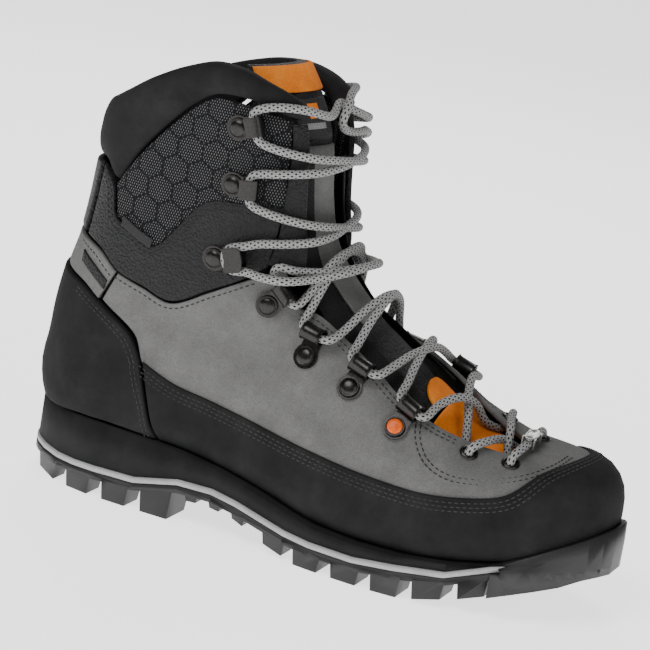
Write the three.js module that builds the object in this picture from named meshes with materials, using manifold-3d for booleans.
// A laced mountain boot for the right foot, in millimetres, +Z up.
// +X points to the toe, -Y is the outer (lateral) side, +Y the inner (medial) side.
// The boot stands on z = 0 and the origin is under the middle of its footprint.
import * as THREE from "three";
import { mergeVertices } from "three/addons/utils/BufferGeometryUtils.js";
import Module from "manifold-3d";

const wasm = await Module();
wasm.setup();

// ---------- Driving dimensions (mm) ----------
// Boot x runs from the heel (0) to the toe tip; the group is shifted so that its origin is under the tread's middle.
const BOOT_LENGTH = 315;
const HEEL_REAR = -2;
const TOE_TIP = HEEL_REAR + BOOT_LENGTH;
const FRAME_X = 156.93; // middle of the tread's outline
const FRAME_Y = -1.43;
const TOE_ROUND = 225; // the toe starts to round off here
const HEEL_ROUND = 45;
const LEATHER = 2.2;
const OVERLAY = 1.4; // how far the rand and the heel cap stand above the leather
const LINING_OUT = -6.6;
const LINING_IN = -8.4;
const STIFFENER_OUT = -3.2;
const STIFFENER_IN = -5.0;
const SEAM = 0.45; // gap left between neighbouring panels
const LACE_RADIUS = 2.3;
const LACE_SIDES = 8;
const LACE_LIFT = 3.2; // centre of a lace lying on the leather
const SHAFT_EXTRA = 0.3; // more of it over the edge binding of the cuff
const CROSS_LIFT = 5.6; // extra height of the strand that passes over

// ---------- Smooth curves through a few stations ----------
function through(stations, values) {
  const last = stations.length - 1;
  const step = values.map((v, i) => (i < last ? (values[i + 1] - v) / (stations[i + 1] - stations[i]) : 0));
  const slope = values.map((v, i) => {
    if (i === 0) return step[0];
    if (i === last) return step[last - 1];
    const a = step[i - 1];
    const b = step[i];
    return a * b <= 0 ? 0 : (2 * a * b) / (a + b);
  });
  return (q) => {
    const x = Math.min(Math.max(q, stations[0]), stations[last]);
    let i = 0;
    while (i < last - 1 && x > stations[i + 1]) i++;
    const h = stations[i + 1] - stations[i];
    const t = (x - stations[i]) / h;
    const t2 = t * t;
    const t3 = t2 * t;
    return (
      (2 * t3 - 3 * t2 + 1) * values[i] +
      (t3 - 2 * t2 + t) * h * slope[i] +
      (3 * t2 - 2 * t3) * values[i + 1] +
      (t3 - t2) * h * slope[i + 1]
    );
  };
}

// ---------- The last: the outer surface of the upper ----------
// Foot, by distance from the heel.
const crest = through(
  [0, 40, 80, 120, 150, 170, 190, 210, 230, 245, 260, 280, 300, 314],
  [80, 92, 108, 132, 142, 129, 116, 102.5, 90, 84.5, 81.5, 82, 83, 82],
);
const feather = through(
  [0, 45, 81, 115, 146, 173, 196, 218, 242, 267, 290, 314],
  [40, 41, 39, 35, 29, 23, 21.5, 22, 24, 27.5, 31, 33],
);
const lateralWidth = through(
  [0, 30, 60, 100, 140, 175, 200, 225, 314],
  [31, 34, 37, 38.5, 44, 50, 52.5, 53, 51],
);
const medialWidth = through(
  [0, 30, 60, 100, 140, 175, 200, 225, 314],
  [31, 33, 35, 36.5, 39, 43, 47, 50, 52],
);
// The ridge of the foot leans to the medial side.
const middle = through([0, 110, 150, 190, 225, 262, 290, 314], [0, 0, 5, 9, 12, 14, 11, 8]);
const boxiness = through(
  [0, 60, 130, 180, 225, 262, 285, 300, 314],
  [3, 2.6, 2.3, 2.3, 2.5, 2.8, 3.4, 4, 4.2],
);
// Shaft, by height.
const shaftBack = through([30, 60, 85, 113, 131, 150, 169, 203, 245], [8, -2.5, -2, 1.7, 6, 8.5, 10, 13, 14]);
const shaftFront = through(
  [30, 60, 85, 113, 131, 150, 169, 190, 205, 220, 235, 245],
  [90, 110, 130, 148, 152, 147, 141, 137, 134.5, 129, 120, 113],
);
const shaftWidth = through([30, 60, 85, 113, 131, 150, 169, 203, 245], [34, 36, 37, 38.5, 39, 39.5, 40.5, 43, 46]);
const shaftMiddle = through([30, 113, 245], [45, 62, 68]);
const frontBoxiness = through([30, 131, 155, 245], [3, 3, 4.2, 4.5]);
const FOOT_SCALE = 40;
const SHAFT_SCALE = 42;
const BLEND = 9;

// Negative inside the last, positive outside, zero on its surface.
function last(x, y, z) {
  const off = y - middle(x);
  const width = off < 0 ? lateralWidth(x) + middle(x) : medialWidth(x) - middle(x);
  const end = Math.max(0, (x - TOE_ROUND) / (TOE_TIP - TOE_ROUND)) + Math.max(0, (HEEL_ROUND - x) / (HEEL_ROUND - HEEL_REAR));
  const plan = Math.hypot(off / width, end);
  const waist = feather(x) + 14;
  const height = z > waist ? crest(x) - waist : 24;
  const n = boxiness(x);
  const foot = (Math.pow(Math.pow(plan, n) + Math.pow(Math.abs(z - waist) / height, n), 1 / n) - 1) * FOOT_SCALE;
  const c = shaftMiddle(z);
  const reach = x > c ? shaftFront(z) - c : c - shaftBack(z);
  const m = x > c ? frontBoxiness(z) : 2.4;
  const ring = Math.pow(Math.abs(x - c) / reach, m) + Math.pow(Math.abs(y) / shaftWidth(z), m);
  const shaft = (Math.pow(ring, 1 / m) - 1) * SHAFT_SCALE + Math.max(0, 30 - z) + 3 * Math.max(0, z - 262);
  const h = Math.min(Math.max(0.5 + (0.5 * (shaft - foot)) / BLEND, 0), 1);
  return shaft * (1 - h) + foot * h - BLEND * h * (1 - h);
}

const V = (x, y, z) => new THREE.Vector3(x, y, z);

// Where the ray from an inside point leaves the last.
function leave(start, direction, reach = 130) {
  const d = direction.clone().normalize();
  let a = 0;
  let b = reach;
  for (let i = 0; i < 34; i++) {
    const m = (a + b) / 2;
    const p = start.clone().addScaledVector(d, m);
    if (last(p.x, p.y, p.z) < 0) a = m;
    else b = m;
  }
  return start.clone().addScaledVector(d, a);
}

// The core that the surface is seen from: toe, instep, heel, top of the shaft.
const CORE = [V(262, 5, 48), V(190, 3, 58), V(120, 1, 70), V(72, 0, 90), V(72, 0, 200), V(72, 0, 225)];

function nearestOnCore(p) {
  let best = null;
  let bestDistance = Infinity;
  for (let i = 0; i < CORE.length - 1; i++) {
    const c = new THREE.Line3(CORE[i], CORE[i + 1]).closestPointToPoint(p, true, new THREE.Vector3());
    const d = c.distanceTo(p);
    if (d < bestDistance) {
      bestDistance = d;
      best = c;
    }
  }
  return best;
}

const onLast = (p) => {
  const c = nearestOnCore(p);
  return leave(c, p.clone().sub(c));
};

function normalAt(p) {
  const e = 0.6;
  return V(
    last(p.x + e, p.y, p.z) - last(p.x - e, p.y, p.z),
    last(p.x, p.y + e, p.z) - last(p.x, p.y - e, p.z),
    last(p.x, p.y, p.z + e) - last(p.x, p.y, p.z - e),
  ).normalize();
}

const lifted = (p, distance) => p.clone().addScaledVector(normalAt(p), distance);

// Points of the surface, given two of their three coordinates.
const side = (x, z, s) => leave(V(x, 0, z), V(0, s, 0), 90);
const top = (x, y) => leave(V(x, y, 48), V(0, 0, 1), 120);
const front = (y, z) => leave(V(80, y, z), V(1, 0, 0), 160);
const back = (y, z) => leave(V(60, y, z), V(-1, 0, 0), 90);

// ---------- Solids ----------
const FINISH = {
  rubber: { color: "#1d1d1e", roughness: 0.75 },
  stripe: { color: "#b4b5b5", roughness: 0.7 },
  foam: { color: "#2a2a2c", roughness: 0.9 },
  board: { color: "#b9a37c", roughness: 0.9 },
  steel: { color: "#8d9094", roughness: 0.35, metalness: 1 },
  lining: { color: "#26272a", roughness: 0.95 },
  blackNubuck: { color: "#1b1b1c", roughness: 0.92 },
  greyNubuck: { color: "#7e7f7f", roughness: 0.88 },
  blackLeather: { color: "#202021", roughness: 0.6 },
  textile: { color: "#2b2c2e", roughness: 0.85 },
  orange: { color: "#e57a1c", roughness: 0.9 },
  gunmetal: { color: "#4c4a48", roughness: 0.32, metalness: 1 },
  lace: { color: "#a9a9a8", roughness: 0.85 },
  silver: { color: "#b9b8b5", roughness: 0.3, metalness: 1 },
  plastic: { color: "#303133", roughness: 0.5 },
};

const boot = new THREE.Group();
boot.position.set(-FRAME_X, -FRAME_Y, 0);

function add(name, geometry, finish) {
  const mesh = new THREE.Mesh(geometry, new THREE.MeshStandardMaterial(FINISH[finish]));
  mesh.name = name;
  boot.add(mesh);
  return mesh;
}

function geometryOf(points, triangles) {
  const g = new THREE.BufferGeometry();
  g.setAttribute("position", new THREE.Float32BufferAttribute(points.flatMap((p) => [p.x, p.y, p.z]), 3));
  g.setIndex(triangles);
  return g;
}

// A closed panel between two rows of matching grids; row-major, rows x columns.
function panelSolid(outer, inner, rows, columns, closed) {
  const n = rows * columns;
  const at = (r, c) => r * columns + (c % columns);
  const triangles = [];
  const quad = (a, b, c, d) => triangles.push(a, b, c, a, c, d);
  const lastColumn = closed ? columns : columns - 1;
  for (let r = 0; r < rows - 1; r++) {
    for (let c = 0; c < lastColumn; c++) {
      quad(at(r, c), at(r, c + 1), at(r + 1, c + 1), at(r + 1, c));
      quad(n + at(r, c), n + at(r + 1, c), n + at(r + 1, c + 1), n + at(r, c + 1));
    }
  }
  for (let c = 0; c < lastColumn; c++) {
    quad(at(0, c), n + at(0, c), n + at(0, c + 1), at(0, c + 1));
    quad(at(rows - 1, c), at(rows - 1, c + 1), n + at(rows - 1, c + 1), n + at(rows - 1, c));
  }
  if (!closed) {
    for (let r = 0; r < rows - 1; r++) {
      quad(at(r, 0), at(r + 1, 0), n + at(r + 1, 0), n + at(r, 0));
      const e = columns - 1;
      quad(at(r, e), n + at(r, e), n + at(r + 1, e), at(r + 1, e));
    }
  }
  return facingOut(geometryOf([...outer, ...inner], triangles));
}

// Turns the faces round if the solid came out inside out.
function facingOut(geometry) {
  const p = geometry.attributes.position;
  const index = geometry.index.array;
  let volume = 0;
  const corner = [V(0, 0, 0), V(0, 0, 0), V(0, 0, 0)];
  for (let i = 0; i < index.length; i += 3) {
    corner.forEach((v, k) => v.fromBufferAttribute(p, index[i + k]));
    volume += corner[0].dot(corner[1].clone().cross(corner[2]));
  }
  if (volume < 0) {
    for (let i = 0; i < index.length; i += 3) {
      [index[i + 1], index[i + 2]] = [index[i + 2], index[i + 1]];
    }
  }
  return geometry;
}

const curveThrough = (points, closed) => {
  if (points.length < 3) return new THREE.LineCurve3(points[0], points[1]);
  return new THREE.CatmullRomCurve3(points, closed, "centripetal");
};

// A leather, textile or rubber panel lying on the last between a lower and an upper edge.
function panel(lower, upper, options) {
  const { outer, inner, perSpan = 2, rows = 4, closed = false, lip = 0 } = options;
  const spans = closed ? lower.length : lower.length - 1;
  const columns = spans * perSpan + (closed ? 0 : 1);
  const low = curveThrough(lower, closed);
  const high = curveThrough(upper, closed);
  const outside = [];
  const inside = [];
  for (let r = 0; r < rows; r++) {
    const v = r / (rows - 1);
    for (let c = 0; c < columns; c++) {
      const t = c / (spans * perSpan);
      const base = onLast(low.getPoint(t).lerp(high.getPoint(t), v));
      const n = normalAt(base);
      const round = lip * Math.pow(Math.abs(2 * v - 1), 6);
      outside.push(base.clone().addScaledVector(n, outer - round));
      inside.push(base.clone().addScaledVector(n, inner + round));
    }
  }
  return panelSolid(outside, inside, rows, columns, closed);
}

const bothWays = (points) => [...points(-1), ...points(1).reverse()];
const SIDES = [
  ["lateral", -1],
  ["medial", 1],
];

// A horizontal slice of the shoe: matching points down the lateral and the medial side.
function ladder(stations, lateral, medial, bottom, topZ) {
  const points = [];
  stations.forEach((x) => {
    points.push(V(x, lateral(x), bottom(x)), V(x, medial(x), bottom(x)));
    points.push(V(x, lateral(x), topZ(x)), V(x, medial(x), topZ(x)));
  });
  const triangles = [];
  const quad = (a, b, c, d) => triangles.push(a, b, c, a, c, d);
  for (let i = 0; i < stations.length - 1; i++) {
    const a = 4 * i;
    const b = a + 4;
    quad(a, a + 1, b + 1, b);
    quad(a + 2, b + 2, b + 3, a + 3);
    quad(a, b, b + 2, a + 2);
    quad(a + 1, a + 3, b + 3, b + 1);
  }
  const e = 4 * (stations.length - 1);
  quad(0, 2, 3, 1);
  quad(e, e + 1, e + 3, e + 2);
  return facingOut(geometryOf(points, triangles));
}

function solidOf(geometry) {
  const bare = geometry.clone();
  Object.keys(bare.attributes).forEach((name) => {
    if (name !== "position") bare.deleteAttribute(name);
  });
  const merged = mergeVertices(bare, 1e-4);
  return new wasm.Manifold(
    new wasm.Mesh({
      numProp: 3,
      vertProperties: new Float32Array(merged.attributes.position.array),
      triVerts: new Uint32Array(merged.index.array),
    }),
  );
}

function backToGeometry(solid) {
  const mesh = solid.getMesh();
  const g = new THREE.BufferGeometry();
  g.setAttribute("position", new THREE.BufferAttribute(new Float32Array(mesh.vertProperties), 3));
  g.setIndex(new THREE.BufferAttribute(new Uint32Array(mesh.triVerts), 1));
  return g;
}

const joined = (geometries) => backToGeometry(geometries.map(solidOf).reduce((a, b) => a.add(b)));
const without = (geometry, cutters) =>
  backToGeometry(cutters.map(solidOf).reduce((a, b) => a.subtract(b), solidOf(geometry)));

// ---------- Outline of the sole ----------
function plateWidth(x, s, grow) {
  const base = s < 0 ? lateralWidth(x) + middle(x) : medialWidth(x) - middle(x);
  const toe = Math.max(0, (x - TOE_ROUND) / (TOE_TIP + grow - TOE_ROUND));
  const heel = Math.max(0, (HEEL_ROUND - x) / (HEEL_ROUND - HEEL_REAR + grow));
  return middle(x) + s * (base + grow) * Math.sqrt(Math.max(0, 1 - toe * toe - heel * heel));
}
const END_STEPS = [0, 0.02, 0.07, 0.15, 0.28, 0.5, 0.74];
const OUTLINE_END = 0.995; // a plate stops just short of its pointed end
function plateStations(grow, toeEnd = TOE_TIP) {
  const rear = HEEL_ROUND - (HEEL_ROUND - HEEL_REAR + grow) * OUTLINE_END;
  const tip = Math.min(toeEnd, TOE_ROUND + (TOE_TIP + grow - TOE_ROUND) * OUTLINE_END);
  const heelPart = END_STEPS.map((f) => rear + f * (HEEL_ROUND - rear));
  const toePart = END_STEPS.map((f) => tip - f * (tip - TOE_ROUND)).reverse();
  return [...heelPart, 45, 70, 95, 115, 130, 145, 160, 175, 200, 222, ...toePart];
}
const plate = (grow, bottom, topZ, toeEnd) =>
  ladder(
    plateStations(grow, toeEnd),
    (x) => plateWidth(x, -1, grow),
    (x) => plateWidth(x, 1, grow),
    bottom,
    topZ,
  );

// Heights along the sole.
const stripeTop = through(
  [0, 23, 60, 76, 95, 116, 142, 167, 186, 200, 219, 246, 271, 315],
  [17, 15.5, 16.5, 17, 22.5, 23.4, 19, 14.7, 13.8, 14, 16, 19, 27, 33],
);
const STRIPE = 3;
const stripeBottom = (x) => stripeTop(x) - STRIPE;
const PLATE = 4;
const treadTop = (x) => stripeBottom(x) - PLATE;
const ground = through([-6, 12, 30, 220, 244, 266, 285, 300, 312], [5, 1.2, 0, 0, 4, 10, 16, 20.5, 26]);
const BUMPER_OUT = 5.2;
const BUMPER_IN = 3.4;

// A rubber lug: a block that narrows to the ground, on one side of the sole.
function lug(x0, x1, outerEdge, innerEdge, depth, taper = 1.2) {
  const points = [];
  [x0, x1].forEach((x, i) => {
    const lean = i === 0 ? taper : -taper;
    const base = treadTop(x) + 1.5;
    const tread = Math.max(treadTop(x) - depth, ground(x + lean));
    const pull = Math.sign(innerEdge(x) - outerEdge(x)) * taper;
    points.push(V(x + lean, outerEdge(x) + pull * 0.6, tread), V(x + lean, innerEdge(x) - pull, tread));
    points.push(V(x, outerEdge(x), base), V(x, innerEdge(x), base));
  });
  const t = [];
  const quad = (a, b, c, d) => t.push(a, b, c, a, c, d);
  quad(0, 1, 5, 4);
  quad(2, 6, 7, 3);
  quad(0, 4, 6, 2);
  quad(1, 3, 7, 5);
  quad(0, 2, 3, 1);
  quad(4, 5, 7, 6);
  return facingOut(geometryOf(points, t));
}

const DEEP = 30; // deeper than any tread, so the lug reaches the ground
// [start, end, length towards the middle, depth]
const SIDE_LUGS = [
  [6, 22, 15, DEEP],
  [29, 45, 17, DEEP],
  [52, 68, 18, DEEP],
  [75, 93, 24, DEEP],
  [100, 108, 9, 3],
  [114, 122, 9, 3],
  [128, 137, 10, 3],
  [148, 162, 15, 6],
  [167, 183, 20, DEEP],
  [189, 205, 21, DEEP],
  [211, 227, 21, DEEP],
  [233, 249, 20, DEEP],
  [255, 269, 17, DEEP],
];
// Blocks down the middle: [start, end, from, to] with y measured from the middle line.
const CENTRE_LUGS = [
  [20, 34, -7, 7],
  [44, 58, -8, 8],
  [158, 172, -14, -3],
  [165, 180, 4, 15],
  [182, 196, -17, -4],
  [188, 203, 4, 17],
  [206, 220, -17, -4],
  [211, 226, 4, 17],
  [230, 244, -16, -4],
  [235, 249, 4, 16],
  [254, 268, -13, -3],
  [258, 272, 4, 14],
];
const soleMiddle = (x) => (plateWidth(x, -1, 0) + plateWidth(x, 1, 0)) / 2;

// The ring of the toe, by the angle round it from straight ahead.
function toePlan(angle, grow, z) {
  const a = THREE.MathUtils.degToRad(angle);
  const x = TOE_ROUND + (TOE_TIP + grow - TOE_ROUND) * Math.cos(a);
  const base = angle < 0 ? lateralWidth(x) + middle(x) : medialWidth(x) - middle(x);
  return V(x, middle(x) + (base + grow) * Math.sin(a), z);
}
function toeWall(angle, z) {
  const aim = toePlan(angle, 0, z);
  const start = V(TOE_ROUND, middle(TOE_ROUND), z);
  return leave(start, aim.sub(start));
}
const BUMPER_ANGLE = 58;
const BUMPER_STEPS = 14;
const bumperTop = through([0, 15, 30, 45, 58], [50, 48, 43.5, 37, 29]);

function bumper() {
  const outer = [];
  const inner = [];
  for (let row = 0; row < 4; row++) {
    for (let i = 0; i <= BUMPER_STEPS; i++) {
      const angle = BUMPER_ANGLE * ((2 * i) / BUMPER_STEPS - 1);
      const rim = bumperTop(Math.abs(angle));
      const x = toePlan(angle, 0, 0).x;
      const level = [stripeBottom(x) - 2.5, feather(x) - 2, feather(x) + (rim - feather(x)) * 0.45, rim][row];
      if (row < 2) {
        outer.push(toePlan(angle, BUMPER_OUT, level));
        inner.push(toePlan(angle, BUMPER_IN, level));
      } else {
        const wall = toeWall(angle, level);
        outer.push(lifted(wall, BUMPER_OUT - (row - 2) * 0.6));
        inner.push(lifted(wall, OVERLAY + 0.9));
      }
    }
  }
  return panelSolid(outer, inner, 4, BUMPER_STEPS + 1, false);
}

// ---------- Sole unit ----------
const MIDSOLE_GROW = 1.5;
const shankSlot = (grow, low, high) =>
  ladder(
    [62 - grow, 90, 120, 150, 178 + grow],
    () => -8 - grow,
    () => 8 + grow,
    (x) => feather(x) + low,
    (x) => feather(x) + high,
  );
add(
  "midsole",
  without(
    plate(
      MIDSOLE_GROW,
      (x) => stripeTop(x) + SEAM,
      (x) => feather(x) - 1.1,
    ),
    [shankSlot(1, -3.4, 3)],
  ),
  "foam",
);
add("shank", shankSlot(0, -2.9, -1.1), "steel");
add("midsole_stripe", plate(2.2, stripeBottom, stripeTop), "stripe");

const toeBlock = ladder(
  [270, 280, 290, 300, 308, 314, 317],
  (x) => plateWidth(x, -1, BUMPER_OUT),
  (x) => plateWidth(x, 1, BUMPER_OUT),
  (x) => Math.min(ground(x), stripeBottom(x) - 4.5),
  (x) => stripeBottom(x) - SEAM,
);
const lugs = SIDES.flatMap(([, s]) =>
  SIDE_LUGS.map(([x0, x1, length, depth]) =>
    lug(
      x0,
      x1,
      (x) => plateWidth(x, s, 2.2),
      (x) => plateWidth(x, s, 2.2) - s * length,
      depth,
    ),
  ),
);
const centreLugs = CENTRE_LUGS.map(([x0, x1, from, to]) =>
  lug(
    x0,
    x1,
    (x) => soleMiddle(x) + from,
    (x) => soleMiddle(x) + to,
    DEEP,
  ),
);
add(
  "outsole",
  joined([
    plate(2.2, treadTop, (x) => stripeBottom(x) - SEAM),
    toeBlock,
    bumper(),
    ...lugs,
    ...centreLugs,
  ]),
  "rubber",
);

// Plates inside the shoe follow the inside of the upper.
const insidePlate = (grow, low, high, toeEnd = 306) =>
  plate(
    grow,
    (x) => feather(x) + low,
    (x) => feather(x) + high,
    toeEnd,
  );
add("insole_board", insidePlate(-11, 0.4, 2.4), "board");
add("footbed", insidePlate(-15.5, 3.2, 7.7, 296), "foam");

// ---------- Upper ----------
const OUTSIDE = { outer: 0, inner: -LEATHER };
const PROUD = { outer: OVERLAY, inner: -LEATHER };
const rim = (x) => feather(x) + SEAM;
const wallAt = (x, s) => side(x, rim(x), s);

// Edge between the rand and the grey leather; "up" moves it onto the leather.
const RAND_SIDE = [
  [64, 77],
  [84, 70],
  [107, 66.5],
  [130, 63.5],
  [150, 60.5],
  [168, 58.3],
  [185, 56.5],
  [205, 55],
  [226, 54.4],
  [246, 56.3],
];
const TOE_ANGLES = [-60, -45, -30, -15, 0, 15, 30, 45, 60];
const RAND_TOP_INSET = 21; // how far back the rand reaches over the toe
const RAND_SIDE_INSET = 3;
function randEdge(up) {
  const sides = (s) => RAND_SIDE.map(([x, z], i) => side(x + (i === 0 ? up : 0), z + up, s));
  const overToe = TOE_ANGLES.map((angle) => {
    const share = Math.pow(Math.abs(angle) / 60, 2);
    const inset = RAND_TOP_INSET + (RAND_SIDE_INSET - RAND_TOP_INSET) * share + up;
    const p = toePlan(angle, -inset, 0);
    return top(p.x, p.y);
  });
  return [...sides(-1), ...overToe, ...sides(1).reverse()];
}
const RAND_FOOT_X = [79, 92, 110, 130, 150, 168, 185, 205, 226, 246];
const toeFoot = (rise) => TOE_ANGLES.map((angle) => toeWall(angle, feather(toePlan(angle, 0, 0).x) + rise));
const randFoot = [
  ...RAND_FOOT_X.map((x) => wallAt(x, -1)),
  ...toeFoot(SEAM),
  ...[...RAND_FOOT_X].reverse().map((x) => wallAt(x, 1)),
];
add("rand", panel(randFoot, randEdge(0), { ...PROUD, rows: 6, perSpan: 1 }), "blackNubuck");

const heelFoot = (s) => [
  ...[77.5, 66, 54, 42, 28].map((x) => wallAt(x, s)),
  back(s * 22, feather(0) + SEAM),
  back(s * 9, feather(0) + SEAM),
];
const capEdge = (s) => [
  side(62.5, 78, s),
  side(55, 88.5, s),
  side(46, 95, s),
  side(34, 101.5, s),
  side(22, 107.5, s),
  back(s * 19, 111.5),
  back(s * 8, 113.5),
];
add("heel_cap", panel(bothWays(heelFoot), bothWays(capEdge), { ...PROUD, rows: 6, perSpan: 1 }), "blackNubuck");

// The throat: half-open slot from the shaft to the toe, by distance from the heel.
const THROAT_X = [139, 154, 170, 186, 205, 220, 235, 248, 258];
const throatEdge = {
  "-1": through(THROAT_X, [-31, -29, -28.5, -29.5, -32, -31, -28, -24, -20]),
  1: through(THROAT_X, [31, 30, 29, 28, 26, 22, 15, 9, 5]),
};
const THROAT_END = [264.5, -7];
const throat = (x, s, inset = 0) => top(x, throatEdge[s](x) + s * inset);

const QUARTER_TOP = [
  [42.5, 119],
  [58, 115],
  [74, 111],
  [95, 122],
  [115, 133.5],
];
const UP = 1.1;
const vampLow = (() => {
  const edge = randEdge(UP);
  const rear = (s) => [side(35.5, 103.3, s), side(57, 90.2, s)];
  return [...rear(-1), ...edge, ...rear(1).reverse()];
})();
const VAMP_THROAT_X = [139, 150, 161, 173, 188, 205, 221, 236, 248, 258];
const vampHigh = (() => {
  const half = (s) => [
    ...QUARTER_TOP.map(([x, z]) => side(x, z, s)),
    front(s * 33, 140),
    ...VAMP_THROAT_X.map((x) => throat(x, s)),
  ];
  return [...half(-1), top(...THROAT_END), ...half(1).reverse()];
})();

// Lace grommets through the vamp: place, and the hole in the leather.
const GROMMETS = {
  grommet_lateral_1: [263, -26],
  grommet_lateral_2: [243, -33],
  grommet_medial_1: [265, 13],
  grommet_medial_2: [245, 19],
};
const HOLE = 3.9;
function frameAt(base, towards, lift = 0) {
  const z = normalAt(base);
  const x = towards.clone().sub(base);
  x.addScaledVector(z, -x.dot(z)).normalize();
  const y = z.clone().cross(x);
  return new THREE.Matrix4().makeBasis(x, y, z).setPosition(base.clone().addScaledVector(z, lift));
}
const cylinder = (radius, low, high, sides = 12) =>
  new THREE.CylinderGeometry(radius, radius, high - low, sides)
    .rotateX(Math.PI / 2)
    .translate(0, 0, (low + high) / 2);
const grommetFrames = Object.fromEntries(
  Object.entries(GROMMETS).map(([name, [x, y]]) => [name, frameAt(top(x, y), V(x + 10, y, 80), 0)]),
);
const vampHoles = Object.values(grommetFrames).map((m) => cylinder(HOLE, -6, 4).applyMatrix4(m));
add(
  "upper_leather",
  without(panel(vampLow, vampHigh, { ...OUTSIDE, rows: 7, perSpan: 1 }), vampHoles),
  "greyNubuck",
);

const bandLow = (s) => [side(33, 103.2, s), side(22, 109.2, s), back(s * 19, 113.3), back(s * 8, 115.2)];
const bandHigh = (s) => [side(41.2, 119.6, s), side(28, 128, s), back(s * 21, 132), back(s * 9, 134)];
add("heel_band", panel(bothWays(bandLow), bothWays(bandHigh), { ...OUTSIDE, rows: 3 }), "greyNubuck");

SIDES.forEach(([name, s]) => {
  const low = [side(36, 109, s), side(27, 114.5, s), side(19, 119, s)];
  const high = [side(37.5, 114, s), side(28, 120, s), side(19, 125, s)];
  add("flex_insert_" + name, panel(low, high, { outer: 1.6, inner: 0.5, rows: 2 }), "textile");
});

const ANKLE_LOW = [
  [18.5, 133.4],
  [30, 129.2],
  [42.5, 120.4],
  [58, 116.4],
  [74, 112.4],
  [95, 123.5],
  [112, 133.4],
];
const CUFF_LOW = [
  [23, 172],
  [31.5, 163],
  [36, 148],
  [49, 142.5],
  [60, 138],
  [86, 167.5],
  [103, 171],
];
const CUFF_HIGH = [
  [33.5, 164.5],
  [46, 183],
  [63, 203],
  [74, 214],
  [84, 220.5],
];
SIDES.forEach(([name, s]) => {
  const low = [...ANKLE_LOW.map(([x, z]) => side(x, z, s)), front(s * 36, 142)];
  const high = [...CUFF_LOW.map(([x, z]) => side(x, z, s)), front(s * 36, 173)];
  add("ankle_panel_" + name, panel(low, high, { ...OUTSIDE, rows: 5, perSpan: 1 }), "blackLeather");

  const cuffLow = [
    ...[[37.5, 149.3], [49.5, 143.7], [60, 139.6], [86, 169], [103, 172.2]].map(([x, z]) => side(x, z, s)),
    front(s * 36, 174.5),
  ];
  const cuffHigh = [...CUFF_HIGH.map(([x, z]) => side(x, z, s)), front(s * 36, 217)];
  add("cuff_panel_" + name, panel(cuffLow, cuffHigh, { ...OUTSIDE, rows: 5 }), "textile");

  const bindingHeights = [143, 160, 178, 198, 216];
  const outerEdge = bindingHeights.map((z) => front(s * 35.4, z));
  const innerEdge = bindingHeights.map((z) => front(s * 29.5, z));
  add("cuff_binding_" + name, panel(outerEdge, innerEdge, { ...OUTSIDE, rows: 2 }), "blackNubuck");
});

const collarLow = (s) => [
  front(s * 31, 218),
  front(s * 37, 219),
  side(105, 223, s),
  side(84, 222.5, s),
  side(73, 215.5, s),
  side(62, 204.5, s),
  side(45, 184.5, s),
  side(32.5, 166.5, s),
  side(23.5, 173.6, s),
  back(s * 12, 173.6),
];
const collarHigh = (s) => [
  front(s * 27, 224),
  front(s * 32, 229),
  side(106, s < 0 ? 235.5 : 234, s),
  side(94, s < 0 ? 238 : 235, s),
  side(80, s < 0 ? 238 : 233.5, s),
  side(66, s < 0 ? 233 : 229.5, s),
  side(48, s < 0 ? 224 : 222.5, s),
  side(33, s < 0 ? 214.5 : 213.5, s),
  side(22, 208, s),
  back(s * 12, 204),
];
add(
  "collar",
  panel(bothWays(collarLow), bothWays(collarHigh), { outer: 1.2, inner: -9, rows: 4, perSpan: 1, lip: 2.2 }),
  "blackNubuck",
);

const stripLow = (s) => [side(16, 134.2, s), back(s * 12, 136)];
const stripHigh = (s) => [side(20.8, 171.8, s), back(s * 10, 171.8)];
add("achilles_strip", panel(bothWays(stripLow), bothWays(stripHigh), { ...OUTSIDE, rows: 4 }), "blackNubuck");

// ---------- Inside the upper ----------
const LINING_RISE = 3.4;
const LINING_FOOT_X = [22, 32, 44, 58, 74, 88, 102, 114, 128, 142, 158, 174, 190, 206, 222, 236, 250];
const liningLow = (() => {
  const z = (x) => feather(x) + LINING_RISE;
  const half = (s) => [back(s * 12, z(0)), ...LINING_FOOT_X.map((x) => side(x, z(x), s))];
  return [...half(-1), ...toeFoot(LINING_RISE), ...half(1).reverse()];
})();
const liningHigh = (() => {
  const half = (s) => [
    back(s * 12, 168),
    side(22, 167, s),
    side(33, 160, s),
    side(45, 177, s),
    side(62, 197, s),
    side(83, 216, s),
    side(106, 216.5, s),
    front(s * 36.5, 212),
    front(s * 37, 188),
    front(s * 37, 165),
    front(s * 37, 146),
    throat(139, s, 5),
    throat(151, s, 5),
    throat(165, s, 5),
    throat(182, s, 5),
    throat(200, s, 6),
    throat(216, s, 8),
    throat(232, s, 12),
  ];
  const round = TOE_ANGLES.map((angle) => {
    const a = THREE.MathUtils.degToRad(angle * 1.5);
    return top(248 + 28 * Math.cos(a), -3 + 34 * Math.sin(a));
  });
  return [...half(-1), ...round, ...half(1).reverse()];
})();
add(
  "lining",
  panel(liningLow, liningHigh, { outer: LINING_OUT, inner: LINING_IN, rows: 10, perSpan: 1, closed: true }),
  "lining",
);

const STIFF = { outer: STIFFENER_OUT, inner: STIFFENER_IN };
const THIN_STIFF = { outer: STIFFENER_OUT - 1.0, inner: STIFFENER_IN };
const counterLow = (s) => [side(72, 52, s), side(48, 53, s), side(24, 53, s), back(s * 12, 53)];
const counterHigh = (s) => [side(62, 70, s), side(46, 88, s), side(24, 96, s), back(s * 12, 98)];
add("heel_counter", panel(bothWays(counterLow), bothWays(counterHigh), { ...THIN_STIFF, rows: 4, perSpan: 3 }), "plastic");

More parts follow.
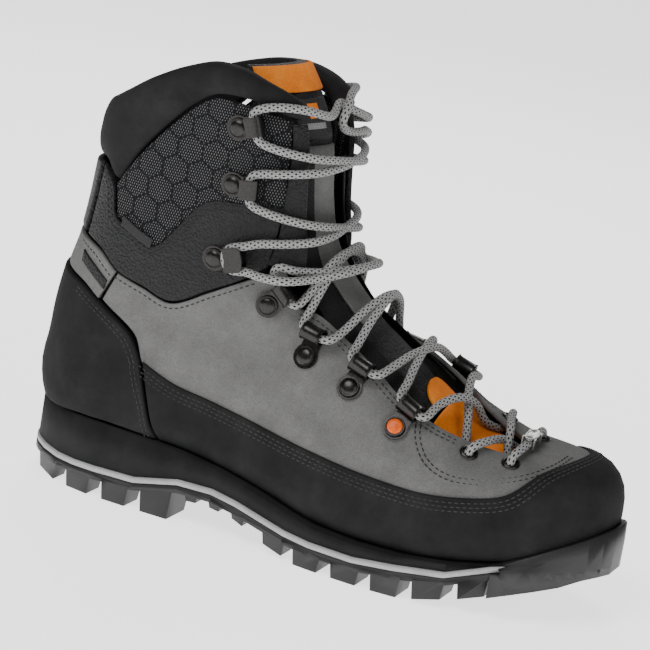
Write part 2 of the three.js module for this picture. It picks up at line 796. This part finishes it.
const puffHigh = TOE_ANGLES.map((angle) => {
  const p = toePlan(angle, -30 + 22 * Math.pow(Math.abs(angle) / 60, 2), 0);
  return top(p.x, p.y);
});
add("toe_puff", panel(toeFoot(6), puffHigh, { ...THIN_STIFF, rows: 6, perSpan: 2 }), "plastic");

SIDES.forEach(([name, s]) => {
  const low = [side(24, 104, s), side(50, 98, s), side(80, 92, s), side(108, 104, s)];
  const high = [side(30, 158, s), side(50, 184, s), side(82, 208, s), side(112, 206, s)];
  add("ankle_padding_" + name, panel(low, high, { ...STIFF, rows: 5 }), "foam");
});

// ---------- Tongue ----------
// Stations from the base up: the middle of the tongue's outer face on the last, its radius and its half width along the arc.
const TONGUE_DEPTH = 5;
const TONGUE_THICK = 6;
const TONGUE_BEND = THREE.MathUtils.degToRad(75); // beyond this angle the wings run straight back
const TONGUE_STATIONS = [
  [() => top(222, -2), 40, 20],
  [() => top(206, -1), 38, 22],
  [() => top(190, 1), 34, 23],
  [() => top(174, 1), 31, 24],
  [() => top(160, 0), 29, 25],
  [() => front(0, 155), 28, 26],
  [() => front(0, 175), 27, 28],
  [() => front(0, 195), 27, 33],
  [() => front(0, 213), 27, 37],
  [() => front(0, 228), 27, 38],
  [() => front(0, 244), 27, 36],
];
// Above this station the wings turn nearly level instead of staying square to the tongue.
const LEVEL_FROM = 5;
const LEVELLING = 0.7;
const tongueMiddle = new THREE.CatmullRomCurve3(
  TONGUE_STATIONS.map(([place]) => lifted(place(), -TONGUE_DEPTH)),
  false,
  "centripetal",
);
const stationList = TONGUE_STATIONS.map((_, i) => i);
const tongueRadius = through(stationList, TONGUE_STATIONS.map(([, radius]) => radius));
const tongueHalf = through(stationList, TONGUE_STATIONS.map(([, , half]) => half));

// A point of the tongue: k along the stations, arc across it (mm), height over its outer face.
function tonguePoint(k, arc, height) {
  const t = k / (TONGUE_STATIONS.length - 1);
  const centre = tongueMiddle.getPoint(t);
  const along = tongueMiddle.getTangent(t).setY(0).normalize();
  const out = V(0, 1, 0).cross(along).normalize();
  if (out.x + out.z < 0) out.negate();
  out.z *= 1 - LEVELLING * THREE.MathUtils.smoothstep(k, LEVEL_FROM, LEVEL_FROM + 4);
  out.normalize();
  const r = tongueRadius(k);
  const angle = Math.min(Math.abs(arc) / r, TONGUE_BEND);
  const beyond = Math.abs(arc) - angle * r;
  const sideways = Math.sign(arc) * ((r + height) * Math.sin(angle) + beyond * Math.cos(angle));
  const drop = r - (r + height) * Math.cos(angle) + beyond * Math.sin(angle);
  return centre.clone().addScaledVector(out, -drop).add(V(0, sideways, 0));
}

// A piece of the tongue between two stations; the arc limits may change along it.
function tonguePiece(from, to, columns, arcs, rows, high, low) {
  const outside = [];
  const inside = [];
  for (let r = 0; r < rows; r++) {
    for (let c = 0; c < columns; c++) {
      const k = from + ((to - from) * c) / (columns - 1);
      const [a, b] = arcs(k);
      const arc = a + ((b - a) * r) / (rows - 1);
      outside.push(tonguePoint(k, arc, high));
      inside.push(tonguePoint(k, arc, low));
    }
  }
  return panelSolid(outside, inside, rows, columns, false);
}
const across = (left, right) => () => [left, right];
const stripArcs = (k) => [-14 - 7 * THREE.MathUtils.smoothstep(k, 4, 6), 7];
add("tongue", tonguePiece(0, 10, 21, (k) => [-tongueHalf(k), tongueHalf(k)], 13, 0, -TONGUE_THICK), "blackNubuck");
add("tongue_strip", tonguePiece(3, 7.5, 10, stripArcs, 5, 1.8, 0.6), "greyNubuck");
add("tongue_label", tonguePiece(7.7, 9.0, 5, across(-21, 5), 6, 1.2, 0.4), "textile");
add("tongue_tip", tonguePiece(9.2, 9.93, 4, (k) => [-tongueHalf(k) + 3, tongueHalf(k) - 3], 13, 1.6, 0.4), "orange");
add("tongue_base_patch", tonguePiece(0.1, 0.8, 5, across(-15, 15), 6, 1.7, 0.4), "orange");

const throatPanelRow = (s) => [
  top(228, throatEdge[s](228) + s * 9),
  top(240, throatEdge[s](240) + s * 9),
  top(252, throatEdge[s](252) + s * 8),
  top(264, -7 + s * 14),
];
add(
  "throat_panel",
  panel(throatPanelRow(-1), throatPanelRow(1), { outer: -8.6, inner: -10, rows: 6, perSpan: 2 }),
  "orange",
);

SIDES.forEach(([name, s]) => {
  const outerEdge = [
    ...[214, 198, 182, 166].map((x) => top(x, throatEdge[s](x) + s * 2)),
    ...[156, 168, 181, 196].map((z) => front(s * 31, z)),
  ];
  const innerEdge = [
    ...[214, 198, 182, 166].map((x) => top(x, s * 20)),
    ...[156, 168, 181, 196].map((z) => front(s * 20, z)),
  ];
  add("gusset_" + name, panel(outerEdge, innerEdge, { outer: -3.4, inner: -4.3, rows: 4, perSpan: 2 }), "textile");
});

const tagLow = [side(41, 144.5, -1), side(50.5, 140.2, -1), side(59.5, 136.8, -1)];
const tagHigh = [side(42, 149.5, -1), side(51, 145.2, -1), side(60, 141.8, -1)];
add("side_tag", panel(tagLow, tagHigh, { outer: 1.5, inner: 0.5, rows: 2 }), "textile");

// ---------- Lace hardware ----------
const CAP = 5.4;
const PLATE_RADIUS = 6.6;
const box = (x0, x1, y0, y1, z0, z1) =>
  new THREE.BoxGeometry(x1 - x0, y1 - y0, z1 - z0).translate((x0 + x1) / 2, (y0 + y1) / 2, (z0 + z1) / 2);
function rivet() {
  const profile = [
    [0, 0.2],
    [CAP, 0.2],
    [CAP, 1.9],
    [CAP - 1.2, 2.8],
    [0, 3.2],
  ];
  return new THREE.LatheGeometry(
    profile.map(([r, z]) => new THREE.Vector2(r, z)),
    12,
  ).rotateX(Math.PI / 2);
}
const backPlate = (length, width) => [
  cylinder(PLATE_RADIUS, 0, 1.2, 12),
  box(0, length, -width / 2, width / 2, 0, 1.2),
];

// Closed guide: the lace runs through a folded sleeve beside the rivet.
const SLEEVE_X = 11.6;
const SLEEVE_Z = 4.6;
const SLEEVE_LENGTH = 11;
function sleeve() {
  const tube = (radius, length) =>
    new THREE.CylinderGeometry(radius, radius, length, 12).translate(SLEEVE_X, 0, SLEEVE_Z);
  const shell = solidOf(joined([tube(4.7, SLEEVE_LENGTH), rivet(), ...backPlate(SLEEVE_X, SLEEVE_LENGTH)]));
  return backToGeometry(shell.subtract(solidOf(tube(3.5, SLEEVE_LENGTH + 4))));
}

// Open hook: the plate folds up and back over the lace, open towards the rivet.
const HOOK_WIDTH = 10;
function openHook() {
  const fold = new THREE.Shape();
  fold.moveTo(5, 0);
  fold.lineTo(10.6, 0);
  fold.absarc(10.6, 4, 4, -Math.PI / 2, Math.PI / 2, false);
  fold.lineTo(6.4, 8);
  fold.lineTo(6.4, 6.9);
  fold.lineTo(10.6, 6.9);
  fold.absarc(10.6, 4, 2.9, Math.PI / 2, -Math.PI / 2, true);
  fold.lineTo(5, 1.1);
  fold.closePath();
  const bent = new THREE.ExtrudeGeometry(fold, { depth: HOOK_WIDTH, bevelEnabled: false, curveSegments: 5 })
    .rotateX(Math.PI / 2)
    .translate(0, HOOK_WIDTH / 2, 0);
  return joined([bent, rivet(), ...backPlate(7, HOOK_WIDTH)]);
}

// Locking hook: a wide lip on a post, the lace goes round the post on the rivet side.
function lockHook() {
  return joined([rivet(), ...backPlate(17, 10), box(10.5, 16, -3, 3, 0.5, 7.5), box(7, 17.5, -5.5, 5.5, 6.9, 8)]);
}

function grommet() {
  const profile = [
    [2.8, 1.5],
    [4.7, 1.0],
    [4.7, 0.45],
    [3.5, 0.45],
    [3.5, -2.8],
    [2.8, -2.8],
    [2.8, 1.5],
  ];
  return facingOut(
    new THREE.LatheGeometry(
      profile.map(([r, z]) => new THREE.Vector2(r, z)),
      16,
    ).rotateX(Math.PI / 2),
  );
}
Object.entries(grommetFrames).forEach(([name, m]) => {
  add(name, grommet().applyMatrix4(m), "gunmetal");
});

// Rivet place and the place it points to, on the surface, for each side.
const GUIDES = [
  [
    [206, 42],
    [210, 34],
  ],
  [
    [178, 39.5],
    [182, 31],
  ],
  [
    [152, 38],
    [156, 30],
  ],
];
const HARDWARE_LIFT = 0.6;
const frames = {};
SIDES.forEach(([name, s]) => {
  GUIDES.forEach(([rivetAt, aimAt], i) => {
    const shift = s > 0 ? -3 + i : 0;
    const m = frameAt(
      top(rivetAt[0], s * (rivetAt[1] + shift)),
      top(aimAt[0], s * (aimAt[1] + shift)),
      HARDWARE_LIFT,
    );
    frames[`guide_${name}_${i + 1}`] = [m, sleeve];
  });
  frames[`guide_${name}_4`] = [frameAt(side(126, 123, s), side(134.5, 132.5, s), HARDWARE_LIFT + 1.6), sleeve];
  frames[`lock_hook_${name}`] = [frameAt(side(95, 140.5, s), side(105, 143, s), HARDWARE_LIFT), lockHook];
  frames[`hook_${name}_1`] = [frameAt(side(99.5, 180, s), side(108, 180.5, s), HARDWARE_LIFT), openHook];
  frames[`hook_${name}_2`] = [frameAt(side(98.5, 209, s), side(107, 212, s), HARDWARE_LIFT), openHook];
});
Object.entries(frames).forEach(([name, [m, make]]) => {
  add(name, make().applyMatrix4(m), "gunmetal");
});

// ---------- Lace ----------
// A path whose steps fall on its own points, so that bends keep their points.
class LacePath extends THREE.CatmullRomCurve3 {
  getSpacedPoints(steps) {
    return this.getPoints(steps);
  }
  getTangentAt(t) {
    return this.getTangent(t);
  }
}
function cord(points, radius = LACE_RADIUS) {
  const section = new THREE.Shape(
    Array.from({ length: LACE_SIDES }, (_, i) => {
      const a = (2 * Math.PI * (i + 0.5)) / LACE_SIDES;
      return new THREE.Vector2(radius * Math.cos(a), radius * Math.sin(a));
    }),
  );
  const path = new LacePath(points, false, "centripetal");
  return new THREE.ExtrudeGeometry(section, { steps: points.length - 1, extrudePath: path, bevelEnabled: false });
}

const inFrame = (m, x, y, z) => V(x, y, z).applyMatrix4(m);
const onTop = (x, y, height) => lifted(top(x, y), height);
const onFront = (y, z, height) => lifted(front(y, z), height);
const onSide = (x, z, s, height) => lifted(side(x, z, s), height);
const NAMES = { "-1": "lateral", 1: "medial" };

// Lace points through one fixture, from its lower to its upper end.
const GROMMET_TOP = 4.1;
const GROMMET_UNDER = -5.7;
const HOOK_X = 10.4;
const HOOK_Z = 4.0;
function passes(kind, level, s) {
  const up = -s;
  if (kind === "grommet") {
    const m = grommetFrames[`grommet_${NAMES[s]}_${level}`];
    return [inFrame(m, 0, 0, GROMMET_TOP), inFrame(m, 0, 0, GROMMET_UNDER)];
  }
  if (kind === "lock_hook") {
    const m = frames[`lock_hook_${NAMES[s]}`][0];
    return [
      [19, -6.4],
      [12, -6.2],
      [7.6, -4.6],
      [7.2, 0],
      [7.6, 4.6],
      [12, 6.2],
      [19, 6.4],
    ].map(([x, y]) => inFrame(m, x, up * y, HOOK_Z));
  }
  const m = frames[`${kind}_${NAMES[s]}_${level}`][0];
  const [x, z] = kind === "guide" ? [SLEEVE_X, SLEEVE_Z] : [HOOK_X - 0.4, HOOK_Z];
  const through = [kind === "guide" ? -8.5 : -7, 0, 7].map((y) => inFrame(m, x, up * y, z));
  // Above the last guide the lace doubles back across the tongue, so it leaves the sleeve in a wide bend.
  if (kind === "guide" && level === 4) {
    through.push(inFrame(m, 12.5, up * 11, 5.2));
    through.push(inFrame(m, 17.5, up * 13, 6.6));
    through.push(inFrame(m, 21.5, up * 8, 6.8));
  }
  return through;
}

// A strand drawn from a to b over the last; "over" lifts it above the strand it crosses.
function strand(a, b, count, over, lift = LACE_LIFT) {
  const endHeight = b.clone().sub(onLast(b)).dot(normalAt(onLast(b)));
  return Array.from({ length: count }, (_, i) => {
    const t = (i + 1) / (count + 1);
    const p = a.clone().lerp(b, t);
    const base = onLast(p);
    const own = p.clone().sub(base).dot(normalAt(base));
    const hump = over ? CROSS_LIFT * Math.pow(Math.sin(Math.PI * t), 5) : 0;
    return lifted(base, Math.max(own, lift, endHeight * Math.pow(t, 3)) + hump);
  });
}

const LEVELS = [
  ["guide", 1],
  ["guide", 2],
  ["guide", 3],
  ["guide", 4],
  ["lock_hook", 1],
  ["hook", 1],
  ["hook", 2],
];
const TOE_CROSS = [253, -6];
const THROAT_CROSS = [231, -3];

// Half of the lace, from the bar across the toe up to the top hook.
function halfLace(start) {
  const over = start < 0;
  let s = start;
  const route = [...passes("grommet", 1, s)];
  route.push(onTop(257.5, s < 0 ? -14 : 1, -5.4));
  route.push(onTop(TOE_CROSS[0], TOE_CROSS[1], over ? 4.4 : -1));
  s = -s;
  route.push(onTop(247.5, s < 0 ? -24 : 9.5, 3.6));
  route.push(...passes("grommet", 2, s));
  route.push(onTop(238, s < 0 ? -21 : 8, -5.2));
  route.push(onTop(THROAT_CROSS[0], THROAT_CROSS[1] + s * 5, over ? 2 : 0.5));
  route.push(onTop(224, THROAT_CROSS[1] - s * 9, over ? 6.5 : 2));
  s = -s;
  route.push(onTop(219, s < 0 ? -25 : 18, 4.8));
  LEVELS.forEach(([kind, level], i) => {
    const through = passes(kind, level, s);
    if (i > 0) {
      const from = route[route.length - 1];
      const onShaft = i > 3;
      const lift = LACE_LIFT + (onShaft ? SHAFT_EXTRA : 0);
      if (kind === "lock_hook") {
        // It comes to the locking hook over the sleeve of the last guide.
        const above = inFrame(frames[`guide_${NAMES[s]}_4`][0], 16, -s * 6, 12.6);
        route.push(...strand(from, above, 7, start === s, lift).slice(0, 6), above);
        const half = above.clone().lerp(through[0], 0.5);
        route.push(lifted(onLast(half), 6.5));
      } else {
        route.push(...strand(from, through[0], onShaft ? 9 : 5, start === s, lift));
      }
    }
    route.push(...through);
    s = -s;
  });
  return route;
}
const lateralEnd = [
  onSide(112, 222.5, -1, 5),
  onFront(-36, 222.5, 5.4),
  onFront(-30, 221, 5.4),
  onFront(-20, 218.5, 5),
  onFront(-9, 218, 3.4),
  onFront(-1, 220.5, 3),
  onFront(6, 223, 2.6),
  onFront(14, 221, 2),
  onFront(22, 217, 4),
  onFront(30, 214.5, 5.6),
];
const medialEnd = [
  onSide(112, 224, 1, 5),
  onFront(36, 226, 5.4),
  onFront(30, 226.5, 5.4),
  onFront(20, 226, 6.4),
  onFront(9, 224, 8),
  onFront(0, 219.5, 8.4),
  onFront(-3, 215, 5.6),
  onFront(4, 211, 2.6),
  onFront(14, 208.5, 2.6),
  onFront(24, 207.5, 4),
  onFront(30, 207, 5.6),
];
const laceRoute = [
  ...[...halfLace(-1), ...lateralEnd].reverse(),
  onTop(265, -17, 4.6),
  onTop(265.5, -6.5, 4.6),
  onTop(265.5, 4, 4.6),
  ...halfLace(1),
  ...medialEnd,
];
add("lace", cord(laceRoute), "lace");

// The free ends hang down the medial side and come to rest beside the sole.
const FLOOR = LACE_RADIUS + 0.7;
function freeEnd(startHeight, x, hang, layX) {
  return [
    onFront(30.6, startHeight, 6),
    onFront(36, startHeight - 3, 11.6),
    onSide(x + 9, startHeight - 7, 1, 13.5),
    onSide(x + 1, startHeight - 17, 1, 14.5),
    V(x, hang, startHeight - 36),
    V(x, hang + 1, 150),
    V(x, hang + 1, 110),
    V(x - 1, hang, 70),
    V(x - 2, hang, 35),
    V(x - 4, hang + 1, 14),
    V(x - 11, hang + 2, 4.5),
    V(x - 21, hang + 2.5, FLOOR),
    V(layX, hang + 3, FLOOR),
  ];
}
// Points every two or three diameters along a smooth curve.
const even = (points, step) => {
  const c = new THREE.CatmullRomCurve3(points, false, "centripetal");
  return c.getSpacedPoints(Math.round(c.getLength() / step));
};
const AGLET = 22;
[
  ["lace_end_1", "aglet_1", freeEnd(214, 101, 57, 8)],
  ["lace_end_2", "aglet_2", freeEnd(207, 110, 63.4, 16)],
].forEach(([endName, agletName, route]) => {
  const points = even(route, 10);
  const tip = points[points.length - 1];
  add(endName, cord(points), "lace");
  const aglet = new THREE.CylinderGeometry(2.5, 2.3, AGLET, 10).rotateZ(Math.PI / 2);
  add(agletName, aglet.translate(tip.x - AGLET / 2 - 0.3, tip.y, 2.6), "plastic");
});

const tagFrame = frameAt(top(265.5, -6.5), top(265.5, 4), 0);
const TAG_HALF = 7.6;
const tagLoop = (x) => [
  box(x - 1.2, x + 1.2, -3.6, -2.8, 1.3, 7.6),
  box(x - 1.2, x + 1.2, 2.8, 3.6, 1.3, 7.6),
  box(x - 1.2, x + 1.2, -3.6, 3.6, 1.3, 2.0),
  box(x - 1.2, x + 1.2, -3.6, 3.6, 7.2, 8.0),
];
const ovalPlate = cylinder(TAG_HALF, 7.2, 8.0, 16).scale(1, 0.42, 1);
add("lace_tag", joined([ovalPlate, ...tagLoop(-4.4), ...tagLoop(4.4)]).applyMatrix4(tagFrame), "silver");

export default boot;
